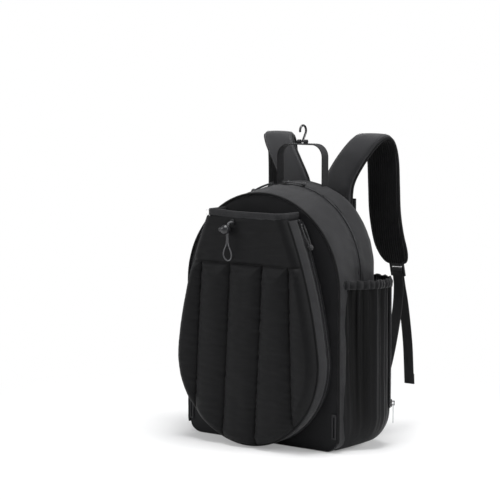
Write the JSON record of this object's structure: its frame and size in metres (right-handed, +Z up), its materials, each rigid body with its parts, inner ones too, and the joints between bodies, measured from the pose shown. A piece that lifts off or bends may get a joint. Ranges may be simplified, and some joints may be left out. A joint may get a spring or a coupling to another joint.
{
  "type": "racket backpack",
  "caption": "Domed backpack with a quilted teardrop racket pocket on the front, elasticated side bottle pockets, padded shoulder straps and a fence hook on the grab handle.",
  "frame": {"origin": "middle of the base's front edge, on the plane the pack stands on", "axes": "+Z up, -Y towards the racket pocket, +Y towards the wearer's back, +X to the right seen from the front"},
  "size_m": [0.402, 0.3421, 0.5468],
  "materials": {
    "shell_fabric": "tightly woven matte black nylon",
    "quilt_fabric": "soft padded black nylon",
    "lining": "plain grey lining",
    "binding": "ribbed black grosgrain binding",
    "mesh": "black ribbed spacer mesh",
    "webbing": "black ribbed webbing",
    "elastic": "black gathered elastic",
    "tape": "black zip tape",
    "coil": "black nylon coil",
    "slider": "black painted zinc",
    "tab": "dull grey metal",
    "buckle": "black acetal",
    "toggle": "satin black plastic",
    "cord": "black braided cord",
    "elastic_cord": "grey round elastic",
    "hook": "gloss black steel wire",
    "board": "white polyethylene board",
    "spring": "steel wire"
  },
  "bodies": {
    "pack": {"anchor_wings": "binding", "back_mesh_pads": "mesh", "back_panel": "mesh", "bottle_pocket_left": "shell_fabric", "bottle_pocket_right": "shell_fabric", "bottle_rim_elastics": "elastic", "bottle_zip_tapes": "tape", "drawcord": "elastic_cord", "drawcord_eyelet": "slider", "front_gusset": "shell_fabric", "front_panel": "shell_fabric", "front_piping": "binding", "grab_handle": "webbing", "hook_ears": "webbing", "ladder_lock_left": "buckle", "ladder_lock_right": "buckle", "lock_loops": "webbing", "lower_gusset_strip": "shell_fabric", "lower_web_left": "webbing", "lower_web_right": "webbing", "lumbar_pad": "mesh", "main_zip_coil": "coil", "main_zip_tapes": "tape", "racket_pocket_flange": "shell_fabric", "racket_pocket_front": "quilt_fabric", "racket_pocket_gusset": "shell_fabric", "racket_pocket_hem": "binding", "racket_pocket_hinge_strip": "shell_fabric", "racket_zip_coil": "coil", "racket_zip_tapes": "tape", "rear_shell": "shell_fabric", "rim_loops": "cord", "seam_pull_loops": "cord", "shoulder_strap_left": "shell_fabric", "shoulder_strap_right": "shell_fabric", "sleeve_divider": "lining", "stiffener_board": "board", "strap_mesh_left": "mesh", "strap_mesh_right": "mesh", "strap_yoke": "binding", "web_turns": "webbing"},
    "main_left_slider": {"main_left_slider": "slider"},
    "main_left_puller": {"main_left_puller_cord": "cord", "main_left_puller_knot": "cord"},
    "main_right_slider": {"main_right_slider": "slider"},
    "main_right_puller": {"main_right_puller_cord": "cord", "main_right_puller_knot": "cord"},
    "racket_slider": {"racket_slider": "slider"},
    "racket_puller": {"racket_puller_cord": "cord", "racket_puller_knot": "cord"},
    "bottle_slider_right": {"bottle_slider_right": "slider"},
    "bottle_tab_right": {"bottle_tab_right": "tab"},
    "bottle_slider_left": {"bottle_slider_left": "slider"},
    "bottle_tab_left": {"bottle_tab_left": "tab"},
    "cord_toggle": {"cord_toggle": "toggle", "toggle_spring": "spring"},
    "toggle_button": {"toggle_button": "toggle"},
    "fence_hook": {"fence_hook": "hook"},
    "web_tail_right": {"web_tail_right": "webbing"},
    "web_tail_left": {"web_tail_left": "webbing"}
  },
  "joints": [
    {"name": "main_left_zip", "type": "hinge", "parent": "pack", "child": "main_left_slider", "pos_m": [0, 0.08, 0.291], "axis": [0, 1, 0], "range_deg": [-58, 0]},
    {"name": "main_right_zip", "type": "hinge", "parent": "pack", "child": "main_right_slider", "pos_m": [0, 0.08, 0.291], "axis": [0, 1, 0], "range_deg": [0, 74]},
    {"name": "main_left_pull", "type": "hinge", "parent": "main_left_slider", "child": "main_left_puller", "pos_m": [-0.0366, 0.08, 0.44345], "axis": [0, 1, 0], "range_deg": [0, 120]},
    {"name": "main_right_pull", "type": "hinge", "parent": "main_right_slider", "child": "main_right_puller", "pos_m": [-0.00957, 0.08, 0.44749], "axis": [0, 1, 0], "range_deg": [-120, 0]},
    {"name": "racket_zip", "type": "hinge", "parent": "pack", "child": "racket_slider", "pos_m": [-0.64813, -0.009, 0.07042], "axis": [0, 1, 0], "range_deg": [0, 15]},
    {"name": "racket_pull", "type": "hinge", "parent": "racket_slider", "child": "racket_puller", "pos_m": [0.09267, -0.009, 0.38487], "axis": [0, 1, 0], "range_deg": [-120, 0]},
    {"name": "bottle_zip_right", "type": "slide", "parent": "pack", "child": "bottle_slider_right", "axis": [0, 0, 1], "range_m": [0, 0.185]},
    {"name": "bottle_tab_right_swing", "type": "hinge", "parent": "bottle_slider_right", "child": "bottle_tab_right", "pos_m": [0.19739, 0.11428, 0.074], "axis": [-0.515, 0.8572, 0], "range_deg": [-120, 0]},
    {"name": "bottle_zip_left", "type": "slide", "parent": "pack", "child": "bottle_slider_left", "axis": [0, 0, 1], "range_m": [0, 0.185]},
    {"name": "bottle_tab_left_swing", "type": "hinge", "parent": "bottle_slider_left", "child": "bottle_tab_left", "pos_m": [-0.19739, 0.11428, 0.074], "axis": [0.515, 0.8572, 0], "range_deg": [0, 120]},
    {"name": "toggle_slide", "type": "slide", "parent": "pack", "child": "cord_toggle", "axis": [0, 0, 1], "range_m": [-0.008, 0]},
    {"name": "toggle_press", "type": "slide", "parent": "cord_toggle", "child": "toggle_button", "axis": [1, 0, 0], "range_m": [0, 0.003], "stiffness_N_per_m": 250, "springref_m": -0.001},
    {"name": "hook_swing", "type": "hinge", "parent": "pack", "child": "fence_hook", "pos_m": [0, 0.122, 0.51658], "axis": [1, 0, 0], "range_deg": [-40, 85]},
    {"name": "web_tail_right_swing", "type": "hinge", "parent": "pack", "child": "web_tail_right", "pos_m": [0.125, 0.24605, 0.276], "axis": [1, 0, 0], "range_deg": [-12, 22]},
    {"name": "web_tail_left_swing", "type": "hinge", "parent": "pack", "child": "web_tail_left", "pos_m": [-0.125, 0.24605, 0.276], "axis": [1, 0, 0], "range_deg": [-12, 22]}
  ]
}
